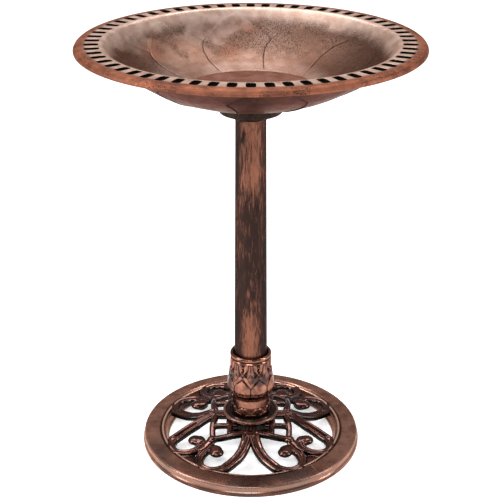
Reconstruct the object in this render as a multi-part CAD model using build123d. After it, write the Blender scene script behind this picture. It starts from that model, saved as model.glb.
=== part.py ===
from build123d import *
import math
import os

# Pedestal bird bath.  Millimetres, +Z up.  The origin is the centre of the foot ring's
# underside, on the ground; the front of the object faces -Y.

# ---- driving dimensions -------------------------------------------------------------
RIM_TOP = 664.0            # overall height
RIM_R = 254.0              # bowl radius over the rolled lip
BOWL_WALL = 3.2
BOWL_FLOOR_Z = 582.0       # underside of the basin floor
BOWL_PAD_R = 53.0          # thick pad under the floor, where the socket is screwed on
BOWL_PAD_Z = 576.0
FLOOR_R = 101.0          # flat floor of the basin
FLOOR_TOP_Z = 590.5
SLOT_COUNT = 60
SLOT_PITCH_R = 228.0
SLOT_LENGTH = 20.0
SLOT_WIDTH = 12.5
SLOT_CORNER = 4.5
SLOT_DEPTH = 3.6
BAND_THICKNESS = 5.6       # the rim is thicker where the blind slots are
BAND_R = 241.0

SOCKET_R = 47.0            # skirted socket under the bowl
SOCKET_SKIRT_Z = 558.0
SOCKET_WEB = 5.0
SOCKET_BOTTOM_Z = 550.0
SCREW_COUNT = 4
SCREW_PITCH_R = 34.0
SCREW_R = 2.5
SCREW_HEAD_R = 4.5
SCREW_BITE = 7.0

POLE_TOP_Z = 546.5         # tapered tube
POLE_TOP_R = 23.1
POLE_FOOT_Z = 62.0
POLE_FOOT_R = 26.9
POLE_WALL = 1.5
CAP_RING_R = 24.6
SPIGOT_R = 20.0
SPIGOT_TOP_Z = 567.0
SLIP = 0.4                 # radial room where one piece lifts out of another

COLLAR_FOOT_Z = 46.0       # leafed collar that the pole stands in
COLLAR_TOP_Z = 158.0
COLLAR_BORE_R = POLE_FOOT_R + SLIP

DISH_Z = 43.0              # shallow dish under the collar
DISH_R = 45.0
DISH_PLATE = 3.0
DISH_RIM_Z = 50.0

DRUM_R = 35.0              # hub drum under the dish
DRUM_FLARE_R = 41.0
DRUM_FOOT_Z = 20.0
DRUM_WEB = 6.0
DRUM_WALL = 5.0

RING_R = 177.0             # foot ring
RING_INNER_R = 135.0       # at the ground; the inner wall leans out to the edge radius
RING_EDGE_R = 145.0
RING_TOP_Z = 19.5
RING_SHOULDER_Z = 16.4     # the top falls to this at the outer edge
RING_WALL = 4.0

FRAME_HALF = 60.0          # square hub frame, to the middle of its bars
FRAME_BAR = 10.0
LATTICE_HALF = 34.0
LATTICE_BAR = 9.0
STEM_WIDTH = 18.0
KNOB_R = 8.0
ARM_WIDTH = 18.0           # scroll arms
HOOK_WIDTH = 13.5
POCKET_R = 20.0            # web that closes the corner between two hooks and the foot ring
DOME_DEPTH = 9.0           # how deep the pierced work is under its top surface

BOLT_R = 4.0               # hub bolt, M8
BOLT_CLEARANCE_R = 4.4
BOLT_HEAD_FLATS = 13.0
BOLT_HEAD_H = 5.5
WASHER_R = 12.0
WASHER_H = 1.6
NUT_H = 6.5
BOLT_END_Z = 72.0

# Underside of the basin, from the flat floor to the rim: (radius, height).
BASIN_UNDERSIDE = [(74, 582), (107, 587), (141, 599.5), (175, 619.5), (196, 637)]

# Top of the pierced work, from the hub out to the foot ring: (radius, height).
DOME_TOP = [(30, 42), (52, 42.6), (68, 41), (89, 31), (120, 23), (150, 19)]

# One scroll of the front-left quarter. The arm runs from the front axis out to the foot
# ring; the hook leaves the arm there, turns back in and swells into a drop-shaped head.
ARM_LINE = [
    (-5.5, -58), (-7, -72), (-12, -86.5), (-19.5, -100), (-27.5, -110), (-34, -117), (-41, -124), (-49, -131.5),
]
HOOK_LINE = [
    (-41, -122), (-51, -127), (-61, -128), (-70, -125), (-77.5, -118), (-80.5, -108), (-80.5, -98),
    (-77, -88.5), (-70.5, -81.5), (-62, -79), (-55, -82),
]
# Overlapping rounds that the head is made of: (x, y, radius).
HEAD_ROUNDS = [(-58, -82, 9.0), (-54, -87, 11.0), (-54, -91, 9.5)]

QUARTERS = {"front_left": 0, "front_right": 90, "back_right": 180, "back_left": 270}


# ---- helpers ------------------------------------------------------------------------
def turned(outline):
    """Solid of revolution about Z of a face drawn as (radius, height) in the XZ plane."""
    return revolve(Plane.XZ * outline, Axis.Z)


def ring(outer_r, inner_r, low, high):
    """Plain turned ring between two heights."""
    section = Polygon((inner_r, low), (outer_r, low), (outer_r, high), (inner_r, high), align=None)
    return turned(section)


def disc(radius, low, high):
    """Plain round disc between two heights."""
    return Pos(0, 0, low) * extrude(Circle(radius), high - low)


def parallel(points, gap):
    """Points moved square to the curve they follow, to its upper side, by the gap."""
    moved = []
    for i, (r, z) in enumerate(points):
        r0, z0 = points[max(i - 1, 0)]
        r1, z1 = points[min(i + 1, len(points) - 1)]
        run = math.hypot(r1 - r0, z1 - z0)
        moved.append((r - gap * (z1 - z0) / run, z + gap * (r1 - r0) / run))
    return moved


def hexagon(flats, low, height):
    """Hexagonal prism of a bolt head or nut."""
    return Pos(0, 0, low) * extrude(RegularPolygon(flats / 2, 6, major_radius=False), height)


# ---- bowl ---------------------------------------------------------------------------
def basin_section():
    """Section of the basin, the flat band for the slots and the lip that rolls down outside."""
    under = [Vector(r, z) for r, z in BASIN_UNDERSIDE]
    inside = [Vector(r, z) for r, z in parallel(BASIN_UNDERSIDE, BOWL_WALL)]
    rim_under = RIM_TOP - BAND_THICKNESS
    shoulder = 215.0
    roll = 8.0
    lip_in = RIM_R - BOWL_WALL
    bead_z = RIM_TOP - roll - 1.0
    lower = Line((0, BOWL_FLOOR_Z), under[0])
    wall_under = Spline(*under, (shoulder - 5, rim_under - 6), (shoulder, rim_under), tangents=[(1, 0), (1, 0.5)])
    rim_flat = Line(wall_under @ 1, (BAND_R, rim_under))
    step = Line(rim_flat @ 1, (BAND_R + 1, RIM_TOP - BOWL_WALL - 0.4))
    lip_under = Spline(step @ 1, (lip_in, bead_z), tangents=[(1, 0), (0, -1)])
    edge = Line(lip_under @ 1, (RIM_R, bead_z))
    lip_top = Spline(edge @ 1, (RIM_R - roll - 3, RIM_TOP), tangents=[(0, 1), (-1, 0)])
    rim_top = Line(lip_top @ 1, (shoulder - 1, RIM_TOP))
    wall_top = Spline(
        rim_top @ 1, (shoulder - 9, RIM_TOP - 5), *reversed(inside[1:]), tangents=[(-1, 0), (-1, -0.2)],
    )
    floor = Polyline(wall_top @ 1, (FLOOR_R, FLOOR_TOP_Z), (0, FLOOR_TOP_Z))
    axis = Line(floor @ 1, lower @ 0)
    return make_face([lower, wall_under, rim_flat, step, lip_under, edge, lip_top, rim_top, wall_top, floor, axis])


def bowl():
    """Basin with a ring of blind rounded slots in its rim and a thick pad under its floor."""
    body = turned(basin_section()) + disc(BOWL_PAD_R, BOWL_PAD_Z, BOWL_FLOOR_Z + 1)
    slot = RectangleRounded(SLOT_LENGTH, SLOT_WIDTH, SLOT_CORNER)
    slots = Sketch() + [place * slot for place in PolarLocations(SLOT_PITCH_R, SLOT_COUNT, 90)]
    body -= Pos(0, 0, RIM_TOP - SLOT_DEPTH) * extrude(slots, 2 * SLOT_DEPTH)
    pilot = disc(SCREW_R, BOWL_PAD_Z - 1, BOWL_PAD_Z + SCREW_BITE)
    body -= [place * pilot for place in PolarLocations(SCREW_PITCH_R, SCREW_COUNT, 45)]
    return body


def bowl_socket():
    """Skirted boss screwed under the bowl; its bore drops over the spigot of the pole cap."""
    web_z = BOWL_PAD_Z - SOCKET_WEB
    bore_r = SPIGOT_R + SLIP
    profile = Polygon(
        (bore_r, SOCKET_BOTTOM_Z), (CAP_RING_R, SOCKET_BOTTOM_Z), (CAP_RING_R + 1, web_z), (SOCKET_R - 4, web_z),
        (SOCKET_R - 4, SOCKET_SKIRT_Z), (SOCKET_R - 2, SOCKET_SKIRT_Z), (SOCKET_R, SOCKET_SKIRT_Z + 2),
        (SOCKET_R, BOWL_PAD_Z), (0, BOWL_PAD_Z), (0, web_z), (bore_r, web_z), align=None,
    )
    body = turned(profile)
    hole = disc(SCREW_R, web_z - 1, BOWL_PAD_Z + 1)
    return body - [place * hole for place in PolarLocations(SCREW_PITCH_R, SCREW_COUNT, 45)]


def socket_screws():
    """Pan-head screws that hold the socket to the bowl's pad, driven from below."""
    web_z = BOWL_PAD_Z - SOCKET_WEB
    head = disc(SCREW_HEAD_R, web_z - 3, web_z)
    screw = head + disc(SCREW_R, web_z - 1, BOWL_PAD_Z + SCREW_BITE)
    return Compound([place * screw for place in PolarLocations(SCREW_PITCH_R, SCREW_COUNT, 45)])


# ---- pole ---------------------------------------------------------------------------
def pole_radius(z):
    """Outside radius of the tapered tube at a height."""
    share = (z - POLE_FOOT_Z) / (POLE_TOP_Z - POLE_FOOT_Z)
    return POLE_FOOT_R + share * (POLE_TOP_R - POLE_FOOT_R)


def pole_tube():
    """Plain tapered tube."""
    foot, top = (POLE_FOOT_R, POLE_FOOT_Z), (POLE_TOP_R, POLE_TOP_Z)
    inner_top, inner_foot = (POLE_TOP_R - POLE_WALL, POLE_TOP_Z), (POLE_FOOT_R - POLE_WALL, POLE_FOOT_Z)
    return turned(Polygon(foot, top, inner_top, inner_foot, align=None))


def pole_cap():
    """Cap plugged into the tube's top, with a lip ring and the spigot that carries the bowl."""
    plug_z = POLE_TOP_Z - 22
    plug_r = pole_radius(plug_z) - POLE_WALL
    profile = Polygon(
        (0, plug_z), (plug_r, plug_z), (POLE_TOP_R - POLE_WALL, POLE_TOP_Z), (CAP_RING_R, POLE_TOP_Z),
        (CAP_RING_R, SOCKET_BOTTOM_Z), (SPIGOT_R, SOCKET_BOTTOM_Z), (SPIGOT_R, SPIGOT_TOP_Z - 2),
        (SPIGOT_R - 2, SPIGOT_TOP_Z), (0, SPIGOT_TOP_Z), align=None,
    )
    return turned(profile)


# ---- collar, dish and drum ----------------------------------------------------------
def leaf_collar():
    """Leafed collar: a bell foot, a waist, a bulged body and a rounded lip round the bore."""
    outside = Spline(
        (23.5, COLLAR_FOOT_Z), (31.4, 60), (29.6, 78), (38.2, 95), (36.8, 110), (33.8, 132), (32.4, 151),
        tangents=[(1, 0.8), (-0.1, 1)],
    )
    lip = ThreePointArc(outside @ 1, (32.8, 155.2), (30.4, COLLAR_TOP_Z))
    top = Line(lip @ 1, (COLLAR_BORE_R, COLLAR_TOP_Z - 1.5))
    rest = Polyline(
        top @ 1, (COLLAR_BORE_R, POLE_FOOT_Z), (BOLT_CLEARANCE_R, POLE_FOOT_Z),
        (BOLT_CLEARANCE_R, COLLAR_FOOT_Z), (23.5, COLLAR_FOOT_Z),
    )
    return turned(make_face([outside, lip, top, rest]))


def drip_dish():
    """Shallow dish with a raised rounded rim, clamped between the collar and the drum."""
    plate_top = DISH_Z + DISH_PLATE
    rim = ThreePointArc((DISH_R, DISH_RIM_Z - 3), (DISH_R - 1.5, DISH_RIM_Z), (DISH_R - 3.5, DISH_RIM_Z - 1.5))
    well = Spline(rim @ 1, (38, plate_top), tangents=[(-0.6, -1), (-1, 0)])
    rest = Polyline(well @ 1, (BOLT_CLEARANCE_R, plate_top), (BOLT_CLEARANCE_R, DISH_Z), (39, DISH_Z))
    belly = Spline(rest @ 1, rim @ 0, tangents=[(1, 0), (0, 1)])
    return turned(make_face([rim, well, rest, belly]))


def hub_drum():
    """Hollow drum in the middle of the base, with the web that the hub bolt pulls on."""
    web_z = DISH_Z - DRUM_WEB
    profile = Polygon(
        (BOLT_CLEARANCE_R, web_z), (DRUM_R - DRUM_WALL, web_z), (DRUM_R - DRUM_WALL, DRUM_FOOT_Z),
        (DRUM_FLARE_R, DRUM_FOOT_Z), (DRUM_R, DRUM_FOOT_Z + 5), (DRUM_R, DISH_Z), (BOLT_CLEARANCE_R, DISH_Z),
        align=None,
    )
    return turned(profile)


# ---- hub bolt -----------------------------------------------------------------------
def hub_bolt():
    """Hexagon bolt that clamps drum, dish and collar together from below."""
    head_top = DISH_Z - DRUM_WEB - WASHER_H
    return hexagon(BOLT_HEAD_FLATS, head_top - BOLT_HEAD_H, BOLT_HEAD_H) + disc(BOLT_R, head_top - 1, BOLT_END_Z)


def hub_washer():
    """Wide washer under the bolt's head."""
    top = DISH_Z - DRUM_WEB
    return ring(WASHER_R, BOLT_CLEARANCE_R, top - WASHER_H, top)


def hub_nut():
    """Nut on the floor of the collar's bore, inside the foot of the pole."""
    return hexagon(BOLT_HEAD_FLATS, POLE_FOOT_Z, NUT_H) - disc(BOLT_R + 0.02, POLE_FOOT_Z - 1, BOLT_END_Z)


# ---- foot ring ----------------------------------------------------------------------
def ring_outline():
    """Outline of the foot ring's section: a bead outside, a groove and a stepped inner wall."""
    outer = Polyline((RING_INNER_R, 0), (RING_R, 0), (RING_R, 4))
    bead = ThreePointArc(outer @ 1, (RING_R - 0.4, 6.6), (RING_R - 2, 8))
    wall = Line(bead @ 1, (RING_R - 2, RING_SHOULDER_Z - 3))
    crown = ThreePointArc(wall @ 1, (RING_R - 2.8, RING_SHOULDER_Z - 0.8), (RING_R - 4.8, RING_SHOULDER_Z))
    flat = Line(crown @ 1, (RING_EDGE_R + 5, RING_TOP_Z))
    groove = ThreePointArc(flat @ 1, (RING_EDGE_R + 3.5, RING_TOP_Z - 2), (RING_EDGE_R + 2, RING_TOP_Z - 0.8))
    lip = ThreePointArc(groove @ 1, (RING_EDGE_R + 1, RING_TOP_Z - 0.4), (RING_EDGE_R, RING_TOP_Z - 1.2))
    step = Polyline(
        lip @ 1, (RING_EDGE_R - 1.5, RING_TOP_Z - 5), (RING_EDGE_R - 4, RING_TOP_Z - 6.5),
        (RING_INNER_R + 1.5, 6), (RING_INNER_R, 4), (RING_INNER_R, 0),
    )
    return [outer, bead, wall, crown, flat, groove, lip, step]


def base_ring():
    """Foot ring, hollow from below, standing on its outer and inner walls."""
    channel = Polygon(
        (RING_INNER_R + RING_WALL, 0), (RING_INNER_R + RING_WALL, 5), (RING_EDGE_R + 2, RING_TOP_Z - 6),
        (RING_R - 2 * RING_WALL, RING_SHOULDER_Z - 4), (RING_R - RING_WALL, RING_SHOULDER_Z - 7),
        (RING_R - RING_WALL, 0), align=None,
    )
    return turned(make_face(ring_outline()) - channel)


# ---- pierced work -------------------------------------------------------------------
def dome_shell():
    """Domed layer that the pierced work lies in: high at the hub and low at the foot ring."""
    lean = [(1, 0), (1, -0.12)]
    top = Spline(*DOME_TOP, tangents=lean)
    edge = Line(top @ 1, top @ 1 - Vector(0, DOME_DEPTH))
    under = Spline(*[(r, z - DOME_DEPTH) for r, z in DOME_TOP], tangents=lean)
    inner = Line(under @ 0, top @ 0)
    return turned(make_face([top, edge, under, inner]))


def bar(length, width, x, y, along_x):
    """Straight bar of the hub's lattice, seen from above."""
    size = (length, width) if along_x else (width, length)
    return Pos(x, y) * Rectangle(*size)


def hub_plan():
    """Square frame, the lattice inside it, the four stems and the corner knobs, from above."""
    outer = 2 * FRAME_HALF + FRAME_BAR
    plan = RectangleRounded(outer, outer, 4) - Rectangle(outer - 2 * FRAME_BAR, outer - 2 * FRAME_BAR)
    for side in (-LATTICE_HALF, LATTICE_HALF):
        plan += bar(2 * FRAME_HALF, LATTICE_BAR, 0, side, True)
        plan += bar(2 * FRAME_HALF, LATTICE_BAR, side, 0, False)
    plan += bar(2 * FRAME_HALF, STEM_WIDTH, 0, 0, True) + bar(2 * FRAME_HALF, STEM_WIDTH, 0, 0, False)
    for place in PolarLocations(math.sqrt(2) * FRAME_HALF + 2, 4, 45):
        plan += place * Circle(KNOB_R)
    return plan


def hub_frame():
    """Pierced frame between the drum and the scrolls."""
    plan = hub_plan() - Circle(DRUM_R)
    return (extrude(plan, RIM_TOP / 10) & dome_shell()) - ring(DRUM_FLARE_R, 0, 0, DRUM_FOOT_Z + 5)


def scroll_plan():
    """One scroll of the front-left quarter, seen from above."""
    plan = trace(Spline(*ARM_LINE), ARM_WIDTH) + trace(Spline(*HOOK_LINE), HOOK_WIDTH)
    for x, y, radius in HEAD_ROUNDS:
        plan += Pos(x, y) * Circle(radius)
    return plan


def scroll_panel(turn):
    """Pair of mirrored scrolls that fills one quarter of the base."""
    scroll = scroll_plan()
    pair = scroll + mirror(scroll, Plane(origin=(0, 0, 0), z_dir=(1, -1, 0)))
    bridge = Pos(-70, -70) * Rotation(0, 0, 45) * Rectangle(22, 17)
    pocket = Pos(-97, -97) * Circle(POCKET_R)
    quarter = Pos(-RING_R / 2, -RING_R / 2) * Rectangle(RING_R, RING_R)
    plan = ((pair + bridge + pocket) & quarter & Circle(RING_EDGE_R)) - hub_plan()
    panel = (extrude(plan, RIM_TOP / 10) & dome_shell()) - turned(make_face(ring_outline()))
    return Rotation(0, 0, turn) * panel.solids().sort_by(SortBy.VOLUME)[-1]


# ---- write one file per piece -------------------------------------------------------
PIECES = {
    "bowl": bowl,
    "bowl_socket": bowl_socket,
    "socket_screws": socket_screws,
    "pole_tube": pole_tube,
    "pole_cap": pole_cap,
    "leaf_collar": leaf_collar,
    "drip_dish": drip_dish,
    "hub_drum": hub_drum,
    "hub_bolt": hub_bolt,
    "hub_washer": hub_washer,
    "hub_nut": hub_nut,
    "hub_frame": hub_frame,
    "base_ring": base_ring,
}

os.makedirs("parts", exist_ok=True)
for name, make in PIECES.items():
    export_step(make(), f"parts/{name}.step")
for quarter, turn in QUARTERS.items():
    export_step(scroll_panel(turn), f"parts/scroll_panel_{quarter}.step")
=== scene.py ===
import math

import bpy
import numpy as np
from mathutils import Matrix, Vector


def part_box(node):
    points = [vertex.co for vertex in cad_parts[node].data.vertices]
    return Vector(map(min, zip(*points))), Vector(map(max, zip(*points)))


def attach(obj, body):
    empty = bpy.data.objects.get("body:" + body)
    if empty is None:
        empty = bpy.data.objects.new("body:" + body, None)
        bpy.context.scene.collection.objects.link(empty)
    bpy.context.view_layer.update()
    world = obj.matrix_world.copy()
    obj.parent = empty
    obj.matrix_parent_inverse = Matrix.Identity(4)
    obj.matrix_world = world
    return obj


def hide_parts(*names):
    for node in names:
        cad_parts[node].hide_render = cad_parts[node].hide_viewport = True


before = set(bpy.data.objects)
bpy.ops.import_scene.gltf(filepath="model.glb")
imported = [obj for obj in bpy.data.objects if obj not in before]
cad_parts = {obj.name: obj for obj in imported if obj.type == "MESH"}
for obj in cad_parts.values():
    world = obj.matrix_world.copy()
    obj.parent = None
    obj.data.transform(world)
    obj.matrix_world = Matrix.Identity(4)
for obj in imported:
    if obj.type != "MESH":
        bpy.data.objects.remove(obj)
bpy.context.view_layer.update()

MM = 0.001


# ---- sizes, all in metres, read from the frame ----------------------------------------
def low(node):
    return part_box(node)[0]


def high(node):
    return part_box(node)[1]


RIM_R = high("bowl").x
RIM_TOP = high("bowl").z
BOWL_PAD_Z = low("bowl").z
FLOOR_Z = BOWL_PAD_Z + 6 * MM
SLOTS = 60
PETALS = 10
SOCKET_FOOT = low("bowl_socket").z
SOCKET_R = high("bowl_socket").x
CAP_R = high("pole_cap").x
CAP_FOOT = low("pole_cap").z
CAP_TOP = high("pole_cap").z
POLE_TOP = high("pole_tube").z
COLLAR_TOP = high("leaf_collar").z
COLLAR_FOOT = low("leaf_collar").z
POLE_R = high("pole_tube").x
DISH_TOP = high("drip_dish").z
DISH_LOW = low("drip_dish").z
DISH_R = high("drip_dish").x
RING_R = high("base_ring").x
RING_TOP = high("base_ring").z
DRUM_FOOT = low("hub_drum").z


# ---- small geometry helpers -------------------------------------------------------------
def smoothstep(low_end, high_end, value):
    t = np.clip((value - low_end) / (high_end - low_end), 0, 1)
    return t * t * (3 - 2 * t)


def hump(value, centre, half_width):
    """Smooth bump of height 1 at the centre and 0 beyond the half width."""
    t = np.clip(np.abs(value - centre) / half_width, 0, 1)
    return (1 - t * t) ** 2


def curve(points, count):
    """Smooth line through the points (Catmull-Rom), with the given number of even steps."""
    p = np.array(points, float)
    p = np.vstack([2 * p[0] - p[1], p, 2 * p[-1] - p[-2]])
    dense = []
    for a, b, c, d in zip(p, p[1:], p[2:], p[3:]):
        t = np.linspace(0, 1, 24, endpoint=False)[:, None]
        square = (2 * a - 5 * b + 4 * c - d) * t**2
        cubic = (3 * b - a - 3 * c + d) * t**3
        dense.append(0.5 * (2 * b + (c - a) * t + square + cubic))
    dense = np.vstack(dense + [p[-2:-1]])
    reach = np.concatenate([[0], np.cumsum(np.linalg.norm(np.diff(dense, axis=0), axis=1))])
    at = np.linspace(0, reach[-1], count)
    return np.stack([np.interp(at, reach, dense[:, k]) for k in range(p.shape[1])], axis=1)


def rounded(corners, steps=6):
    """Closed outline through corners (radius, height, rounding), all in millimetres, as metres."""
    points = []
    for i, (r, z, rounding) in enumerate(corners):
        here = np.array((r, z), float)
        back = np.array(corners[i - 1][:2]) - here
        ahead = np.array(corners[(i + 1) % len(corners)][:2]) - here
        if rounding == 0:
            points.append(here)
            continue
        back, ahead = back / np.linalg.norm(back), ahead / np.linalg.norm(ahead)
        half = math.acos(np.clip(back @ ahead, -1, 1)) / 2
        middle = (back + ahead) / np.linalg.norm(back + ahead)
        centre = here + middle * rounding / math.sin(half)
        start, end = here + back * rounding / math.tan(half), here + ahead * rounding / math.tan(half)
        for t in np.linspace(0, 1, steps):
            spoke = (start - centre) * (1 - t) + (end - centre) * t
            points.append(centre + spoke / np.linalg.norm(spoke) * rounding)
    return [(r * MM, z * MM) for r, z in points]


def bridge(first, second):
    """Quads between two rings of the same count, or triangles where one ring is a single point."""
    n = max(len(first), len(second))
    if len(first) == len(second) == 1:
        return []
    faces = []
    for j in range(n):
        k = (j + 1) % n
        if len(first) == 1:
            faces.append((first[0], second[k], second[j]))
        elif len(second) == 1:
            faces.append((first[j], first[k], second[0]))
        else:
            faces.append((first[j], first[k], second[k], second[j]))
    return faces


def build(name, verts, faces, material, body, nodes=(), masks=None):
    """Mesh object with smooth faces that rides a body and stands for the named CAD nodes."""
    mesh = bpy.data.meshes.new(name)
    mesh.from_pydata([tuple(v) for v in verts], [], faces)
    mesh.update()
    for key, values in (masks or {}).items():
        mesh.attributes.new(key, "FLOAT", "POINT").data.foreach_set("value", np.array(values, np.float32))
    mesh.polygons.foreach_set("use_smooth", [True] * len(mesh.polygons))
    mesh.materials.append(material)
    obj = bpy.data.objects.new(name, mesh)
    bpy.context.scene.collection.objects.link(obj)
    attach(obj, body)
    if nodes:
        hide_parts(*nodes)
    return obj


def lathe(name, outline, segments, material, body, nodes=()):
    """Turned piece. The outline is closed and runs up its outer side; radius 0 is a point."""
    verts, rings = [], []
    for r, z in outline:
        count = segments if r > 1e-6 else 1
        rings.append(list(range(len(verts), len(verts) + count)))
        for i in range(count):
            turn = 2 * math.pi * i / segments
            verts.append((r * math.cos(turn), r * math.sin(turn), z))
    faces = []
    for a, b in zip(rings, rings[1:] + rings[:1]):
        faces += bridge(a, b)
    return build(name, verts, faces, material, body, nodes)


# ---- materials --------------------------------------------------------------------------
BROWN_GRAZE = (0.5, 0.33, 0.26, 1)


class Nodes:
    """Short way to write a node tree."""

    def __init__(self, name):
        self.material = bpy.data.materials.new(name)
        self.material.use_nodes = True
        self.tree = self.material.node_tree
        self.shader = self.tree.nodes["Principled BSDF"]
        self.place = self.add("ShaderNodeTexCoord").outputs["Object"]

    def add(self, kind, **values):
        node = self.tree.nodes.new(kind)
        for key, value in values.items():
            setattr(node, key, value)
        return node

    def link(self, source, target):
        if isinstance(source, (int, float, tuple)):
            target.default_value = source
        else:
            self.tree.links.new(source, target)

    def scaled(self, x, y, z):
        node = self.add("ShaderNodeMapping")
        node.inputs["Scale"].default_value = (x, y, z)
        self.link(self.place, node.inputs["Vector"])
        return node.outputs["Vector"]

    def noise(self, scale, detail=4.0, rough=0.55, vector=None):
        node = self.add("ShaderNodeTexNoise")
        self.link(vector or self.place, node.inputs["Vector"])
        node.inputs["Scale"].default_value = scale
        node.inputs["Detail"].default_value = detail
        node.inputs["Roughness"].default_value = rough
        return node.outputs["Fac"]

    def dots(self, scale, a, b):
        """1 inside scattered round dots and 0 between them."""
        node = self.add("ShaderNodeTexVoronoi")
        node.inputs["Scale"].default_value = scale
        self.link(self.place, node.inputs["Vector"])
        return self.remap(node.outputs["Distance"], a, b)

    def shifted(self, x, y, z):
        node = self.add("ShaderNodeMapping")
        node.inputs["Location"].default_value = (x, y, z)
        self.link(self.place, node.inputs["Vector"])
        return node.outputs["Vector"]

    def remap(self, value, a, b, c=0.0, d=1.0):
        """Smooth step from c, where the value is a, to d, where it is b."""
        node = self.add("ShaderNodeMapRange", interpolation_type="SMOOTHSTEP")
        for key, v in zip(("Value", "From Min", "From Max", "To Min", "To Max"), (value, a, b, c, d)):
            self.link(v, node.inputs[key])
        return node.outputs["Result"]

    def math(self, operation, a, b=0.0):
        node = self.add("ShaderNodeMath", operation=operation)
        self.link(a, node.inputs[0])
        self.link(b, node.inputs[1])
        return node.outputs["Value"]

    def times(self, a, b):
        return self.math("MULTIPLY", a, b)

    def plus(self, a, b):
        return self.math("ADD", a, b)

    def mix(self, factor, a, b):
        node = self.add("ShaderNodeMix", data_type="RGBA")
        self.link(factor, node.inputs["Factor"])
        self.link(a, node.inputs[6])
        self.link(b, node.inputs[7])
        return node.outputs[2]

    def blend(self, value, a, b, first, second):
        """First colour where the value is a, second colour where it is b."""
        return self.mix(self.remap(value, a, b), first, second)

    def mask(self, name):
        return self.add("ShaderNodeAttribute", attribute_name=name).outputs["Fac"]

    def edges(self, a, b):
        """Share from the curvature: a below b picks rubbed edges, a above b picks hollows."""
        return self.remap(self.add("ShaderNodeNewGeometry").outputs["Pointiness"], a, b)

    def steep(self, a, b):
        """0 on faces that look up, 1 on steep side walls."""
        split = self.add("ShaderNodeSeparateXYZ")
        self.link(self.add("ShaderNodeNewGeometry").outputs["Normal"], split.inputs["Vector"])
        return self.remap(split.outputs["Z"], a, b)

    def axis(self, name):
        """Object coordinate X, Y or Z in metres."""
        split = self.add("ShaderNodeSeparateXYZ")
        self.link(self.place, split.inputs["Vector"])
        return split.outputs[name]

    def radius(self):
        """Distance from the upright axis in metres."""
        flat = self.scaled(1, 1, 0)
        node = self.add("ShaderNodeVectorMath", operation="LENGTH")
        self.link(flat, node.inputs[0])
        return node.outputs["Value"]

    def bump(self, height, strength, distance):
        node = self.add("ShaderNodeBump")
        node.inputs["Strength"].default_value = strength
        node.inputs["Distance"].default_value = distance
        self.link(height, node.inputs["Height"])
        return node.outputs["Normal"]

    def finish(self, color, roughness, normal, metallic, coat=0.0, coat_roughness=0.2, graze=BROWN_GRAZE):
        """Connects the shader. The graze tint keeps the sides of round pieces brown instead of white."""
        self.link(color, self.shader.inputs["Base Color"])
        self.link(roughness, self.shader.inputs["Roughness"])
        self.link(normal, self.shader.inputs["Normal"])
        self.link(metallic, self.shader.inputs["Metallic"])
        self.shader.inputs["Specular IOR Level"].default_value = 0.25
        self.shader.inputs["Specular Tint"].default_value = graze
        self.shader.inputs["Coat Weight"].default_value = coat
        self.shader.inputs["Coat Roughness"].default_value = coat_roughness
        return self.material


# Radii in metres between which one zone of the bowl fades into the next.
DISC_FADE = (0.104, 0.100)
RIGHT_WALL_SHADE_START = (0.105, 0.140)
CLOUD_START = (0.120, 0.165)
CLOUD_END = (0.207, 0.190)
BROWN_END = (0.203, 0.180)
RUST_END = (0.212, 0.195)
RIM_AND_REFLECTION_START = (0.188, 0.207)
RIM_END = (0.240, 0.234)
LIP_START = (0.234, 0.244)
PAD_SHADE = (0.100, 0.086)


def bowl_zones(n, radius, blotch):
    """Tone of the clean metal: pink wall, brown and rusty patches, painted shade on the right wall, disc,
    pale rim that also paints a reflection band on the upper wall, and orange lip.
    """
    pink = n.blend(blotch, 0.35, 0.7, (0.29, 0.190, 0.155, 1), (0.20, 0.120, 0.094, 1))
    brown = n.blend(n.noise(9, 3, 0.5), 0.40, 0.62, pink, (0.16, 0.082, 0.056, 1))
    tone = n.mix(n.times(n.remap(radius, *BROWN_END), 0.8), pink, brown)
    patches = n.remap(n.noise(11, 3, 0.5, n.shifted(0.2, 0.5, 0.1)), 0.50, 0.66)
    rust = n.times(patches, n.remap(radius, *RUST_END))
    tone = n.mix(n.times(rust, 0.7), tone, (0.20, 0.075, 0.045, 1))
    # Painted shade: the right wall, at positive X, is darkened in the colour.
    side = n.times(n.remap(n.axis("X"), 0.01, 0.10), n.remap(radius, *RIGHT_WALL_SHADE_START))
    side = n.times(side, n.remap(radius, *CLOUD_END))
    tone = n.mix(n.times(side, 0.9), tone, (0.070, 0.032, 0.021, 1))
    disc = n.blend(n.noise(30, 4, 0.6), 0.38, 0.64, (0.27, 0.140, 0.108, 1), (0.19, 0.082, 0.056, 1))
    tone = n.blend(radius, *DISC_FADE, tone, disc)
    # The pale rim tone is partly the band's own colour and partly a painted reflection, reaching down onto
    # the upper wall.
    rim = n.blend(blotch, 0.35, 0.65, (0.58, 0.42, 0.35, 1), (0.46, 0.30, 0.24, 1))
    tone = n.mix(n.times(n.remap(radius, *RIM_AND_REFLECTION_START), n.remap(radius, *RIM_END)), tone, rim)
    lip = n.blend(blotch, 0.3, 0.7, (0.29, 0.105, 0.060, 1), (0.15, 0.056, 0.036, 1))
    return n.blend(radius, *LIP_START, tone, lip)


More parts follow.
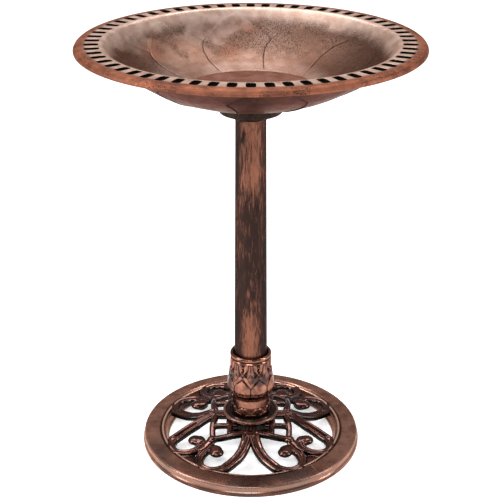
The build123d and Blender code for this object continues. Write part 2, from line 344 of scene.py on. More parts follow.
def bowl_copper():
    """Pinkish copper with clouds of dark dots; the lip is more orange, and the underside carries painted
    shade.
    """
    n = Nodes("bowl_copper")
    radius = n.radius()
    blotch = n.noise(48, 5, 0.6)
    clouds = n.plus(n.noise(15, 2, 0.5), n.times(blotch, 0.30))
    band = n.times(n.remap(radius, *CLOUD_START), n.remap(radius, *CLOUD_END))
    cloud = n.times(n.remap(clouds, 0.52, 0.70), band)
    lip_share = n.remap(radius, *LIP_START)
    lip_cloud = n.times(n.remap(n.noise(21, 3), 0.44, 0.58), lip_share)
    spotted = n.plus(n.times(cloud, 0.95), n.plus(n.times(lip_cloud, 0.85), 0.03))
    dots = n.plus(n.dots(430, 0.44, 0.26), n.times(n.dots(760, 0.46, 0.27), 0.7))
    speckle = n.math("MINIMUM", n.times(dots, spotted), 0.92)
    tone = bowl_zones(n, radius, blotch)
    tone = n.mix(n.times(cloud, 0.65), tone, (0.115, 0.062, 0.045, 1))
    tone = n.mix(speckle, tone, (0.020, 0.011, 0.008, 1))
    # Painted shade: the underside, marked by the under mask, is painted dark brown, and nearly black round
    # the pad.
    below = n.blend(blotch, 0.3, 0.7, (0.082, 0.044, 0.032, 1), (0.046, 0.025, 0.019, 1))
    tone = n.mix(n.mask("under"), tone, below)
    pad_shade = n.times(n.mask("under"), n.remap(radius, *PAD_SHADE))
    tone = n.mix(pad_shade, tone, (0.008, 0.004, 0.003, 1))
    # The dark mask paints shade into the slots and under the lip, and paints the dark lines along the petal
    # edges.
    tone = n.mix(n.mask("dark"), tone, (0.004, 0.003, 0.002, 1))
    satin = n.remap(n.noise(90, 3), 0.3, 0.7, 0.34, 0.46)
    rough = n.math("MAXIMUM", satin, n.times(n.mask("dark"), 0.9))
    rough = n.plus(rough, n.times(lip_share, 0.16))
    normal = n.bump(n.noise(330, 3, 0.6), 0.25, 0.0006)
    metallic = n.remap(n.mask("under"), 0, 1, 0.72, 0.80)
    return n.finish(tone, rough, normal, metallic)


def streaked_copper():
    """Dark brown tube with brushed copper streaks along it, and a painted highlight of copper down the front
    and the back near its two ends.
    """
    n = Nodes("pole_copper")
    height = n.axis("Z")
    streaks = n.noise(330, 5, 0.75, n.scaled(1, 1, 0.14))
    wide = n.noise(24, 3, 0.5, n.scaled(1, 1, 0.22))
    ends = n.math("MAXIMUM", n.remap(height, 0.40, 0.47), n.remap(height, 0.33, 0.20))
    # Painted highlight: extra copper down the front and back centre line near both ends.
    middle = n.remap(n.math("ABSOLUTE", n.axis("X")), 0.022, 0.004)
    share = n.plus(n.times(streaks, 0.9), n.times(wide, 0.7))
    share = n.plus(share, n.times(n.times(ends, middle), 0.30))
    tone = n.blend(share, 0.80, 1.12, (0.026, 0.015, 0.013, 1), (0.20, 0.080, 0.050, 1))
    soot = n.noise(60, 4, 0.6, n.scaled(1, 1, 0.3))
    tone = n.blend(soot, 0.56, 0.70, tone, (0.018, 0.011, 0.010, 1))
    rough = n.remap(streaks, 0.3, 0.7, 0.44, 0.30)
    normal = n.bump(n.noise(420, 3, 0.6, n.scaled(1, 1, 0.2)), 0.25, 0.0005)
    return n.finish(tone, rough, normal, 0.8, 0.0, 0.3, (0.22, 0.14, 0.11, 1))


def collar_copper():
    """Polished copper with dark grooves between the leaves."""
    n = Nodes("collar_copper")
    blotch = n.noise(70, 5, 0.6)
    tone = n.blend(blotch, 0.38, 0.66, (0.30, 0.118, 0.072, 1), (0.13, 0.048, 0.030, 1))
    tone = n.blend(n.noise(28, 3), 0.50, 0.62, tone, (0.060, 0.025, 0.019, 1))
    hollow = n.edges(0.50, 0.44)
    tone = n.mix(n.times(hollow, 0.9), tone, (0.022, 0.010, 0.008, 1))
    tone = n.mix(n.times(n.edges(0.54, 0.60), 0.8), tone, (0.70, 0.42, 0.33, 1))
    tone = n.mix(n.mask("dark"), tone, (0.006, 0.003, 0.002, 1))
    rough = n.remap(n.noise(120, 3), 0.3, 0.7, 0.12, 0.20)
    normal = n.bump(n.noise(300, 3, 0.6), 0.10, 0.0005)
    return n.finish(tone, rough, normal, 0.9, 0.35, 0.08, (0.28, 0.16, 0.12, 1))


def ring_copper():
    """Copper brown of the foot ring with patches and brighter rubbed edges, painted shade that darkens the
    front, and painted highlights on the inner bead and the outer shoulder.
    """
    n = Nodes("ring_copper")
    patch = n.noise(8, 4, 0.6, n.shifted(0.35, 0.1, 0.0))
    blotch = n.noise(48, 5, 0.62)
    # Painted shade: the front of the ring is darker, fading out towards the back.
    front_shade_fade = n.remap(n.axis("Y"), -0.150, -0.060)
    light = n.mix(front_shade_fade, (0.120, 0.047, 0.031, 1), (0.34, 0.165, 0.118, 1))
    brown = n.mix(front_shade_fade, (0.060, 0.023, 0.016, 1), (0.155, 0.070, 0.050, 1))
    tone = n.blend(blotch, 0.35, 0.68, light, brown)
    tone = n.mix(n.times(n.remap(patch, 0.54, 0.66), 0.8), tone, (0.055, 0.032, 0.027, 1))
    tone = n.mix(n.times(n.edges(0.50, 0.44), 0.85), tone, (0.012, 0.007, 0.006, 1))
    tone = n.mix(n.times(n.edges(0.53, 0.60), 0.5), tone, (0.50, 0.26, 0.18, 1))
    radius = n.radius()
    # Painted highlights on the inner bead and the outer shoulder; the groove between them is painted near
    # black.
    bead = n.times(n.remap(radius, 0.1430, 0.1440), n.remap(radius, 0.1466, 0.1456))
    groove = n.times(n.remap(radius, 0.1464, 0.1470), n.remap(radius, 0.1494, 0.1486))
    shoulder = n.times(n.remap(radius, 0.1715, 0.1738), n.remap(radius, 0.1768, 0.1752))
    bead_and_shoulder_highlight = n.math("MAXIMUM", n.times(bead, 0.8), n.times(shoulder, 0.2))
    tone = n.mix(bead_and_shoulder_highlight, tone, (0.75, 0.45, 0.34, 1))
    tone = n.mix(n.times(groove, 0.85), tone, (0.012, 0.007, 0.005, 1))
    rough = n.remap(blotch, 0.3, 0.7, 0.20, 0.32)
    normal = n.bump(n.noise(380, 3, 0.6), 0.12, 0.0005)
    return n.finish(tone, rough, normal, 0.78, 0.2, 0.15)


def scroll_copper():
    """Glossy dark copper of the castings: brown on top, painted shade black down the sides, black in the
    valleys.
    """
    n = Nodes("scroll_copper")
    blotch = n.noise(55, 5, 0.62)
    tone = n.blend(blotch, 0.35, 0.66, (0.135, 0.050, 0.034, 1), (0.045, 0.015, 0.011, 1))
    tone = n.mix(n.times(n.edges(0.53, 0.57), 0.8), tone, (0.50, 0.28, 0.22, 1))
    tone = n.mix(n.times(n.edges(0.49, 0.44), 0.9), tone, (0.010, 0.005, 0.004, 1))
    # Painted shade: steep side walls are painted nearly black.
    tone = n.mix(n.times(n.steep(0.80, 0.45), 0.97), tone, (0.006, 0.004, 0.003, 1))
    rough = n.remap(n.noise(110, 3), 0.3, 0.7, 0.14, 0.24)
    normal = n.bump(n.noise(300, 3, 0.6), 0.08, 0.0005)
    return n.finish(tone, rough, normal, 0.85, 0.40, 0.08, (0.3, 0.18, 0.14, 1))


def dish_copper():
    """Dark saucer with a painted highlight on its rim."""
    n = Nodes("dish_copper")
    blotch = n.noise(60, 5, 0.6)
    # Painted highlight: the rim gets a brighter copper tone.
    rim = n.remap(n.radius(), 0.0405, 0.0425)
    tone = n.blend(blotch, 0.35, 0.7, (0.045, 0.024, 0.018, 1), (0.022, 0.012, 0.010, 1))
    rim_highlight_tone = n.blend(blotch, 0.4, 0.65, (0.23, 0.105, 0.075, 1), (0.12, 0.060, 0.048, 1))
    tone = n.mix(rim, tone, rim_highlight_tone)
    tone = n.mix(n.times(n.edges(0.53, 0.60), 0.5), tone, (0.30, 0.20, 0.16, 1))
    rough = n.remap(blotch, 0.3, 0.7, 0.20, 0.30)
    normal = n.bump(n.noise(380, 3), 0.12, 0.0005)
    return n.finish(tone, rough, normal, 0.75, 0.3, 0.12)


def dark_copper():
    """Nearly black copper brown of the boss under the bowl."""
    n = Nodes("socket_copper")
    blotch = n.noise(60, 4, 0.6)
    tone = n.blend(blotch, 0.35, 0.7, (0.024, 0.015, 0.012, 1), (0.008, 0.005, 0.004, 1))
    tone = n.mix(n.times(n.edges(0.53, 0.60), 0.5), tone, (0.22, 0.13, 0.10, 1))
    rough = n.remap(blotch, 0.3, 0.7, 0.34, 0.46)
    normal = n.bump(n.noise(380, 3), 0.15, 0.0005)
    return n.finish(tone, rough, normal, 0.6)


def zinc_steel():
    """Zinc-plated steel of the hidden fasteners."""
    n = Nodes("fastener_steel")
    grain = n.noise(900, 3)
    tone = n.mix(grain, (0.55, 0.55, 0.53, 1), (0.42, 0.42, 0.41, 1))
    return n.finish(tone, n.remap(grain, 0.3, 0.7, 0.28, 0.42), n.bump(grain, 0.1, 0.0002), 1.0)


COPPER_BOWL = bowl_copper()
COPPER_POLE = streaked_copper()
COPPER_COLLAR = collar_copper()
COPPER_RING = ring_copper()
COPPER_SCROLL = scroll_copper()
COPPER_DISH = dish_copper()
COPPER_DARK = dark_copper()
STEEL = zinc_steel()


# ---- bowl -------------------------------------------------------------------------------
COLUMNS_PER_SLOT = 10
COLUMNS = SLOTS * COLUMNS_PER_SLOT
PETAL_COLUMNS = COLUMNS // PETALS
FIRST_TURN = math.radians(90 - 180 / SLOTS)     # a slot is centred at the back and at the front
PETAL_TURN = math.radians(81)                   # left edge of the first petal
NOTCH_R = 174 * MM
TIP_R = 205 * MM
DISC_R = 103 * MM
BAND_DEPTH = 5.6 * MM
SLOT_DEPTH = 3.6 * MM
BAND_IN = 216 * MM
BAND_OUT = RIM_R - 13 * MM
SLOT_R = 228 * MM
SLOT_HALF_LONG = 10.3 * MM
SLOT_HALF_WIDE = 6.5 * MM
SLOT_SQUARENESS = 4.5                           # exponent of the slot's outline, 2 is an ellipse
LIP_SHADED_RINGS = 4
LIP_UNDER_RINGS = 5


def petal_share(turn):
    """Position across a petal, 0 at its left edge and 1 at its right edge."""
    return ((PETAL_TURN - turn) / (2 * math.pi / PETALS)) % 1.0


def petal_turns(radius):
    """Angle of every column at a radius: bunched at the petal edges, which lean near the floor."""
    turn = FIRST_TURN + 2 * math.pi * np.arange(COLUMNS) / COLUMNS
    share = petal_share(turn)
    step = 1.0 / PETAL_COLUMNS
    edge = 0.008
    bunched = np.interp(share, [0, step, 1 - step, 1], [0, edge, 1 - edge, 1])
    bunch = 1 - smoothstep(TIP_R - 2 * MM, BAND_IN - 2 * MM, radius)
    turn = turn - (bunched - share) * bunch * 2 * math.pi / PETALS
    lean = np.interp(radius / MM, [60, 97, 119, 140, 155, 165, 174], [-5, -3.5, -0.5, 1, 0.8, -0.1, -1.8])
    return turn + math.radians(lean), share * (1 - bunch) + bunched * bunch


def petal_relief(radius, share):
    """Height of the petals over the plain wall, and how dark their edge lines are."""
    arch = TIP_R - (TIP_R - NOTCH_R) * np.abs(2 * share - 1) ** 1.6
    inside = 1 - smoothstep(arch - 1.2 * MM, arch + 1.2 * MM, radius)
    fade = smoothstep(DISC_R - 4 * MM, DISC_R + 16 * MM, radius)
    height = (0.22 + 0.38 * (1 - share) ** 1.3 + 0.25 * np.sin(np.pi * share)) * MM
    seam = np.maximum(1 - share / 0.006, 0) + np.maximum(1 - (1 - share) / 0.014, 0)
    seam = np.clip(seam, 0, 1) * (radius < NOTCH_R)
    rim_line = np.exp(-(((radius - arch) / (1.3 * MM)) ** 2)) * (0.25 + 0.75 * np.abs(2 * share - 1) ** 3)
    height = np.where(share < 0.004, 0.22 * MM, height) - 0.4 * MM * seam
    return height * inside * fade, np.clip(0.95 * seam * fade + 0.85 * rim_line * fade, 0, 1)


def wall_profile(points, count):
    """Rows along a profile in millimetres, with the direction square to it, upward."""
    line = curve([(r * MM, z * MM) for r, z in points], count)
    run = np.gradient(line, axis=0)
    run /= np.linalg.norm(run, axis=1)[:, None]
    side = 1 if line[-1][0] > line[0][0] else -1
    return [(r, z, -dz * side, dr * side) for (r, z), (dr, dz) in zip(line, run)]


class Bowl:
    """Collects the bowl's vertices ring by ring, with its masks."""

    def __init__(self):
        self.verts, self.faces, self.dark, self.under = [], [], [], []

    def point(self, r, turn, z, dark=0.0, under=0.0):
        self.verts.append((r * math.cos(turn), r * math.sin(turn), z))
        self.dark.append(dark)
        self.under.append(under)
        return len(self.verts) - 1

    def relief_ring(self, row, under):
        r, z, nr, nz = row
        turns, share = petal_turns(r)
        rise, dark = petal_relief(r, share)
        rise, dark = rise * (1 + under), np.clip(dark * (1 + under), 0, 1)
        return [self.point(r + nr * h, t, z + nz * h, d, under) for t, h, d in zip(turns, rise, dark)]

    def plain_ring(self, r, z, dark=0.0, under=0.0):
        turns = FIRST_TURN + 2 * math.pi * np.arange(COLUMNS) / COLUMNS
        return [self.point(r, t, z, dark, under) for t in turns]

    def slotted_band(self, inner, outer):
        """Flat band between two rings with a blind rounded slot in every sector, whose walls and floor carry
        painted shade.
        """
        side_steps = 8
        sides = []
        for i in range(SLOTS):
            turn = FIRST_TURN + 2 * math.pi * i / SLOTS
            radii = np.linspace(BAND_OUT, BAND_IN, side_steps + 1)[1:-1]
            sides.append([self.point(r, turn, RIM_TOP) for r in radii])
        # share of the way to the slot's outline, depth under the top, size and the darkness of the painted
        # shade
        steps = ((0.5, 0, 1.0, 0), (0.84, 0, 1.0, 0), (1.0, 0, 1.06, 0), (1.0, 0.15 * MM, 1.02, 0.55),
                 (1.0, 0.7 * MM, 1.0, 1.0), (1.0, SLOT_DEPTH - 0.6 * MM, 0.97, 1.0),
                 (1.0, SLOT_DEPTH, 0.9, 1.0))
        for i in range(SLOTS):
            first, last = i * COLUMNS_PER_SLOT, (i + 1) * COLUMNS_PER_SLOT
            arc_out = [outer[c % COLUMNS] for c in range(first, last + 1)]
            arc_in = [inner[c % COLUMNS] for c in range(last, first - 1, -1)]
            loop = arc_out + sides[(i + 1) % SLOTS] + arc_in + sides[i][::-1]
            middle = FIRST_TURN + 2 * math.pi * (i + 0.5) / SLOTS
            radial = np.array((math.cos(middle), math.sin(middle)))
            across = np.array((-radial[1], radial[0]))
            centre = radial * SLOT_R
            previous = loop
            for share, drop, size, dark in steps:
                ring = []
                for corner in loop:
                    spot = np.array(self.verts[corner][:2])
                    a, b = (spot - centre) @ radial, (spot - centre) @ across
                    long_part = abs(a / SLOT_HALF_LONG) ** SLOT_SQUARENESS
                    wide_part = abs(b / SLOT_HALF_WIDE) ** SLOT_SQUARENESS
                    shrink = (long_part + wide_part) ** (-1 / SLOT_SQUARENESS) * size
                    goal = centre + (radial * a + across * b) * shrink
                    x, y = spot * (1 - share) + goal * share
                    ring.append(self.point(math.hypot(x, y), math.atan2(y, x), RIM_TOP - drop, dark))
                self.faces += bridge(previous, ring)
                previous = ring
            floor = self.point(SLOT_R, middle, RIM_TOP - SLOT_DEPTH, 1.0)
            self.faces += bridge(previous, [floor])


def make_bowl():
    """Basin of petals, slotted rim and rolled lip, as one closed shell."""
    top_mm, floor = RIM_TOP / MM, FLOOR_Z / MM
    below = [(58, floor), (80, floor + 0.3), (92, floor + 1.9), (107, floor + 5), (124, floor + 10.6),
             (141, floor + 17.5), (158, floor + 26.6), (175, floor + 37.5), (192, floor + 51.8),
             (203, floor + 63.2), (209, floor + 70.5), (212.6, top_mm - 7.2), (216, top_mm - BAND_DEPTH / MM)]
    above = [(216, top_mm), (211.8, top_mm - 1.4), (207.8, top_mm - 5.4), (203.2, top_mm - 11.5),
             (191.5, floor + 55.6), (174, floor + 40.8), (157, floor + 30), (140, floor + 20.9),
             (123, floor + 14), (112, floor + 10.4), (106.5, floor + 9.0), (104, floor + 8.1),
             (101.5, floor + 8.3), (98, floor + 8.5), (80, floor + 8.5), (60, floor + 8.5)]
    pad = [(30, floor - 6), (50.6, floor - 6), (52.4, floor - 5.2), (53, floor - 3.6), (53.4, floor - 0.6)]
    b = Bowl()
    rows = [[b.point(0, 0, BOWL_PAD_Z, 0, 1)]]
    rows += [b.plain_ring(r * MM, z * MM, 0, 1) for r, z in pad]
    lower = wall_profile(below, 46)
    rows += [b.relief_ring(row, 1.0) for row in lower[1:-1]]
    rows.append(b.plain_ring(BAND_IN, RIM_TOP - BAND_DEPTH, 0, 1))
    # Painted shade: the ring under the band and the lowest lip rings are darkened in the dark mask.
    rows.append(b.plain_ring(240 * MM, RIM_TOP - BAND_DEPTH, 0.5, 1))
    lip = [(245.5, 660.8), (248.5, 659.6), (250.4, 657.4), (250.9, 655.8), (251.8, 655.0), (252.9, 655.0),
           (253.8, 655.9), (254.0, 657.2), (253.6, 658.9), (252.4, 660.9), (250.3, 662.5), (247.6, 663.5),
           (244.5, 663.95)]
    for i, (r, z) in enumerate(lip):
        dark = 0.6 if i < LIP_SHADED_RINGS else 0
        under = 1.0 if i < LIP_UNDER_RINGS else 0.0
        rows.append(b.plain_ring(r * MM, z * MM, dark, under))
    outer_top = b.plain_ring(BAND_OUT, RIM_TOP)
    rows.append(outer_top)
    for first, second in zip(rows, rows[1:]):
        b.faces += bridge(first, second)
    inner_top = b.plain_ring(BAND_IN, RIM_TOP)
    rows = [inner_top] + [b.relief_ring(row, 0.0) for row in wall_profile(above, 92)[1:]]
    rows += [b.plain_ring(r * MM, FLOOR_Z + 8.5 * MM) for r in (48, 34, 20, 8)]
    rows.append([b.point(0, 0, FLOOR_Z + 8.5 * MM)])
    for first, second in zip(rows, rows[1:]):
        b.faces += bridge(first, second)
    b.slotted_band(inner_top, outer_top)
    masks = {"dark": b.dark, "under": b.under}
    return build("petal_bowl", b.verts, b.faces, COPPER_BOWL, "bowl", ("bowl",), masks)


# ---- collar -----------------------------------------------------------------------------
LEAF_TURN = math.radians(45)


def crease(distance, width):
    """1 on a line and 0 beyond the width."""
    return np.exp(-((distance / width) ** 2))


def collar_relief(turn, z, radius):
    """Relief and groove mask of the leaf pattern; lengths in millimetres."""
    share = ((turn / LEAF_TURN + 0.5) % 1.0) - 0.5
    x = share * LEAF_TURN * radius
    near = np.abs(share)
    half = LEAF_TURN / 2 * radius
    rise, dark = np.zeros_like(z), np.zeros_like(z)

    # crossing bands of the upper part
    upper = smoothstep(112, 116, z) * (1 - smoothstep(146.5, 148.5, z))
    levels = [112, 117, 122, 128, 132, 136, 145, 150]
    path = np.interp(z, levels, [0.92, 0.82, 0.70, 0.53, 0.42, 0.34, 0.28, 0.27])
    lean = 0.8
    over = (near - path) * LEAF_TURN * radius * lean
    back = (near - (1 - path)) * LEAF_TURN * radius * lean
    band_over, band_back = hump(over, 0, 3.1), hump(back, 0, 3.1)
    band_back *= smoothstep(124, 131, z)
    bands = np.maximum(band_over, band_back)
    cell = smoothstep(0.12, 0.3, near) * smoothstep(124, 129, z)
    rise += upper * (1.5 * bands - 1.1 * cell * (1 - bands))
    dark += upper * (1 - smoothstep(0.02, 0.3, bands)) * cell * 0.8
    dark += upper * (crease(np.abs(over) - 3.1, 0.7) + 0.7 * crease(np.abs(back) - 3.1, 0.7)) * 0.8
    drop = crease(np.hypot((near - 0.5) * LEAF_TURN * radius, (z - 142) * 0.8), 2.6)
    rise += 1.4 * drop
    dark *= 1 - 0.9 * drop

    # leaf tip between the bands on the front line
    tip_half = np.interp(z, [105, 110, 117, 124, 131], [0.0, 3.4, 7.2, 4.4, 0.0])
    leaf = np.clip(1 - (np.abs(x) / np.maximum(tip_half, 0.01)) ** 2, 0, 1) * (tip_half > 0.05)
    rise += 1.1 * np.sqrt(leaf)
    dark += 0.9 * crease(x, 0.8) * smoothstep(132, 136, z) * (1 - smoothstep(146, 148, z))

    # large lotus petals, centred between the front lines
    off = half - np.abs(x)
    petal_half = np.interp(z, [86, 90, 97, 106, 112, 117, 121], [11.5, 13.6, 14.8, 14.2, 10.2, 5.4, 0.0])
    petal_half = np.minimum(petal_half, half)
    body = np.clip(1 - (off / np.maximum(petal_half, 0.01)) ** 2, 0, 1)
    petal_zone = smoothstep(86, 91, z) * (1 - smoothstep(120.5, 121.5, z))
    rise += petal_zone * 2.2 * body**0.5
    dark += petal_zone * 0.95 * crease(off - petal_half, 0.8)
    dark += 0.9 * crease(x, 0.65) * smoothstep(86, 90, z) * (1 - smoothstep(107, 110, z))
    rise += petal_zone * 0.5 * crease(off, 1.2) * smoothstep(100, 112, z)

    # two rows of small scales on the bell
    bell = smoothstep(48, 51, z) * (1 - smoothstep(66, 69, z))
    upper_arch = 66.5 - 8.0 * (off / half) ** 2
    upper_scale = smoothstep(0, 1.4, upper_arch - z)
    lower_arch = 57.5 - 6.5 * (x / half) ** 2
    lower_scale = smoothstep(0, 1.4, lower_arch - z)
    rise += bell * (1.1 * upper_scale + 0.9 * lower_scale)
    dark += bell * 0.8 * (crease(z - upper_arch, 0.6) + crease(z - lower_arch, 0.6) * 0.9)

    # groove under the rounded lip, the band above the leaves, painted shade in a dark band at the waist under
    # the leaf bulge, and a darker foot
    rise -= 0.9 * crease(z - 150.6, 0.8)
    dark += 0.95 * crease(z - 150.6, 0.7) + 0.75 * crease(z - 84.5, 3.2) + 0.8 * (1 - smoothstep(49, 52, z))
    rise += 0.6 * hump(z, 148.2, 1.8)
    return rise, np.clip(1.6 * dark, 0, 1)


def make_collar():
    """Leafed collar with its bore, as one closed shell."""
    columns, rows_out = 384, 170
    top = COLLAR_TOP / MM
    foot = COLLAR_FOOT / MM
    bore = POLE_R / MM + 0.4
    outside = [(23, foot), (25.6, 48), (29.0, 52.5), (30.4, 58), (30.2, 65), (29.4, 72), (28.6, 79),
               (29.4, 84), (33.6, 88.5), (36.6, 95), (36.6, 103), (35.4, 112), (34.2, 122), (33.0, 133),
               (32.4, 144), (32.4, top - 7.4)]
    line = curve(outside, rows_out)
    lip = [(32.9, top - 5.6), (33.3, top - 3.8), (32.9, top - 1.8), (31.8, top - 0.5), (30.2, top),
           (28.6, top - 0.5), (bore, top - 1.8)]
    inside = [(bore, top - 8), (bore, top - 40), (bore, 62), (4.4, 62), (4.4, foot)]
    turns = 2 * np.pi * np.arange(columns) / columns - np.pi / 2
    verts, dark, rings = [], [], []
    for i, (r, z) in enumerate([tuple(p) for p in line] + lip + inside):
        level = np.full(columns, z)
        if i < rows_out:
            rise, shade = collar_relief(turns + np.pi / 2, level, r)
        elif i < rows_out + len(lip):
            rise, shade = np.zeros(columns), np.zeros(columns)
        else:
            rise, shade = np.zeros(columns), np.full(columns, 0.85)
        rings.append(list(range(len(verts), len(verts) + columns)))
        reach = (r + rise) * MM
        verts += list(zip(reach * np.cos(turns), reach * np.sin(turns), level * MM))
        dark += list(shade)
    faces = []
    for a, b in zip(rings, rings[1:] + rings[:1]):
        faces += bridge(a, b)
    nodes, masks = ("leaf_collar",), {"dark": dark}
    return build("leafed_collar", verts, faces, COPPER_COLLAR, "base", nodes, masks)


# ---- pierced base -------------------------------------------------------------------------
VOXEL = 0.9 * MM
DEPTH = 9.5                # of the castings, in millimetres
STEP = 1.6                 # between the rings of a stroke, in millimetres
# Sections from the outer side to the lobe side: (place across, drop in millimetres).
ARM_SECTION = [(-1.0, 4.8), (-0.97, 3.2), (-0.88, 1.6), (-0.74, 0.5), (-0.56, 0.0), (-0.38, 0.2),
               (-0.15, 1.1), (0.08, 2.5), (0.26, 3.3), (0.40, 2.6), (0.52, 1.4), (0.64, 0.9), (0.78, 1.3),
               (0.92, 2.9), (1.0, 5.0)]
RIBBON_SECTION = [(-1.0, 4.8), (-0.95, 2.6), (-0.80, 1.1), (-0.62, 0.6), (-0.42, 1.1), (-0.20, 1.9),
                  (0.05, 2.1), (0.26, 1.4), (0.46, 0.9), (0.66, 1.2), (0.86, 2.8), (1.0, 5.0)]
ROUND_SECTION = [(-1.0, 4.8), (-0.96, 2.8), (-0.82, 1.4), (-0.55, 0.5), (-0.25, 0.1), (0.0, 0.0),
                 (0.25, 0.1), (0.55, 0.5), (0.82, 1.4), (0.96, 2.8), (1.0, 4.8)]
DOME_RADII = [0, 52, 60, 68, 78, 89, 104, 120, 135, 150]
DOME_HEIGHTS = [43, 43, 42.8, 41.6, 37.0, 31.4, 26.4, 23, 20.6, 19]


def dome(r):
    """Height in millimetres of the pierced work's top at a radius."""
    return np.interp(r, DOME_RADII, DOME_HEIGHTS)


def dome_foot(r):
    """Height in millimetres of its underside."""
    return np.maximum(dome(r) - DEPTH, 0.4)


class Cast:
    """Closed strokes and knobs that are merged into one cast piece by a voxel remesh."""

    def __init__(self):
        self.verts, self.faces = [], []

    def stroke(self, points, widths, section, lift=0.0, mirrored=False):
        """Bar along a line, with the widths spread evenly over its length and rounded ends."""
        length = sum(math.dist(a, b) for a, b in zip(points, points[1:]))
        line = curve(points, max(int(length / STEP), 4))
        run = np.gradient(line, axis=0)
        run /= np.linalg.norm(run, axis=1)[:, None]
        gone = np.linspace(0, length, len(line))
        width = np.interp(gone, np.linspace(0, length, len(widths)), widths)
        for end, from_end in ((widths[0] / 2, gone), (widths[-1] / 2, length - gone)):
            width = width * np.sqrt(np.clip(1 - np.clip(1 - from_end / end, 0, 0.98) ** 2, 0, 1))
        hand = -1 if mirrored else 1
        rings = []
        for (x, y), (tx, ty), wide in zip(line, run, width):
            top = dome(math.hypot(x, y)) + lift
            foot = dome_foot(math.hypot(x, y))
            outline = [(across, top - drop) for across, drop in section]
            outline += [(section[-1][0], foot), (section[0][0], foot)]
            rings.append(range(len(self.verts), len(self.verts) + len(outline)))
            for across, z in outline:
                side = hand * across * wide / 2
                self.verts.append((x - ty * side, y + tx * side, z))
        faces = []
        for a, b in zip(rings, rings[1:]):
            faces += bridge(a, b)
        faces += [tuple(rings[0])[::-1], tuple(rings[-1])]
        self.faces += faces if mirrored else [face[::-1] for face in faces]

    def knob(self, x, y, radius, rise):
        """Ball-like knob that stands over the surface and reaches the underside."""
        top = float(dome(math.hypot(x, y))) + rise
        foot = float(dome_foot(math.hypot(x, y)))
        middle = (top + foot) / 2
        outline = [(0.0, foot)]
        for a in np.linspace(-1.3, 1.4, 14):
            outline.append((radius * math.cos(a), middle + (top - middle) * math.sin(a)))
        outline.append((0.0, top))
        rings = []
        for r, z in outline:
            count = 28 if r > 0 else 1
            rings.append(list(range(len(self.verts), len(self.verts) + count)))
            for i in range(count):
                turn = 2 * math.pi * i / count
                self.verts.append((x + r * math.cos(turn), y + r * math.sin(turn), z))
        for a, b in zip(rings, rings[1:]):
            self.faces += bridge(a, b)

    def merged(self):
        """Vertices and faces of the strokes after the remesh and a light smoothing."""
        mesh = bpy.data.meshes.new("casting")
        mesh.from_pydata([tuple(c * MM for c in v) for v in self.verts], [], self.faces)
        obj = bpy.data.objects.new("casting", mesh)
        bpy.context.scene.collection.objects.link(obj)
        remesh = obj.modifiers.new("remesh", "REMESH")
        remesh.mode = "VOXEL"
        remesh.voxel_size = VOXEL
        smooth = obj.modifiers.new("smooth", "SMOOTH")
        smooth.factor = 0.5
        smooth.iterations = 3
        evaluated = obj.evaluated_get(bpy.context.evaluated_depsgraph_get())
        result = bpy.data.meshes.new_from_object(evaluated)
        verts = np.zeros(len(result.vertices) * 3, np.float32)
        result.vertices.foreach_get("co", verts)
        faces = [tuple(p.vertices) for p in result.polygons]
        bpy.data.objects.remove(obj)
        return verts.reshape(-1, 3), faces


def swap(points):
    """The same line on the other side of the quarter's diagonal."""
    return [(y, x) for x, y in points]


def quarter_turned(points, quarters):
    """The same line turned about the centre by a number of quarter turns."""
    for _ in range(quarters):
        points = [(-y, x) for x, y in points]
    return points


# Lines of one scroll of the front-left quarter, in millimetres seen from above.
ARM = [(-5.5, -58), (-7, -72), (-12, -86.5), (-19.5, -100), (-27.5, -110), (-34, -117), (-41, -124),
       (-49, -131.5)]
RIBBON = [(-41, -122), (-51, -126.6), (-61, -127.6), (-70, -124.6), (-77.5, -117.8), (-80.8, -108),
          (-80.8, -98), (-77, -88), (-70.5, -81.5), (-62, -79.5), (-55, -82.5)]
HEAD = [(-66, -81), (-59, -81.5), (-54.5, -86), (-53.8, -92)]
HEAD_KNOB = [(-54, -89.5)]
LINK = [(-60, -60), (-70, -70), (-82, -82)]
POCKET = [(-82, -108), (-95, -96), (-96, -95), (-108, -82)]


def make_scrolls():
    """The four quarters of mirrored scrolls, copies of one casting."""
    cast = Cast()
    for flipped in (False, True):
        lines = (ARM, RIBBON, HEAD, HEAD_KNOB)
        arm, ribbon, head, knob = [swap(line) if flipped else line for line in lines]
        cast.stroke(arm, (18.5, 18.5), ARM_SECTION, 0, not flipped)
        cast.stroke(ribbon, (14.5, 14.5, 15.5), RIBBON_SECTION, 0.3, not flipped)
        cast.stroke(head, (14, 19, 22, 18), ROUND_SECTION, 1.4)
        cast.knob(*knob[0], 11.6, 2.6)
    cast.stroke(LINK, (17, 17), ROUND_SECTION, -0.2)
    cast.stroke(POCKET, (24, 24), ROUND_SECTION, -4.5)
    verts, faces = cast.merged()
    x, y, z = verts[:, 0], verts[:, 1], verts[:, 2]
    for quarter, turn in (("front_left", 0), ("front_right", 90), ("back_right", 180), ("back_left", 270)):
        c, s = math.cos(math.radians(turn)), math.sin(math.radians(turn))
        turned = np.stack([x * c - y * s, x * s + y * c, z], axis=1)
        nodes = (f"scroll_panel_{quarter}",)
        build(f"scrolls_{quarter}", turned, faces, COPPER_SCROLL, "base", nodes)


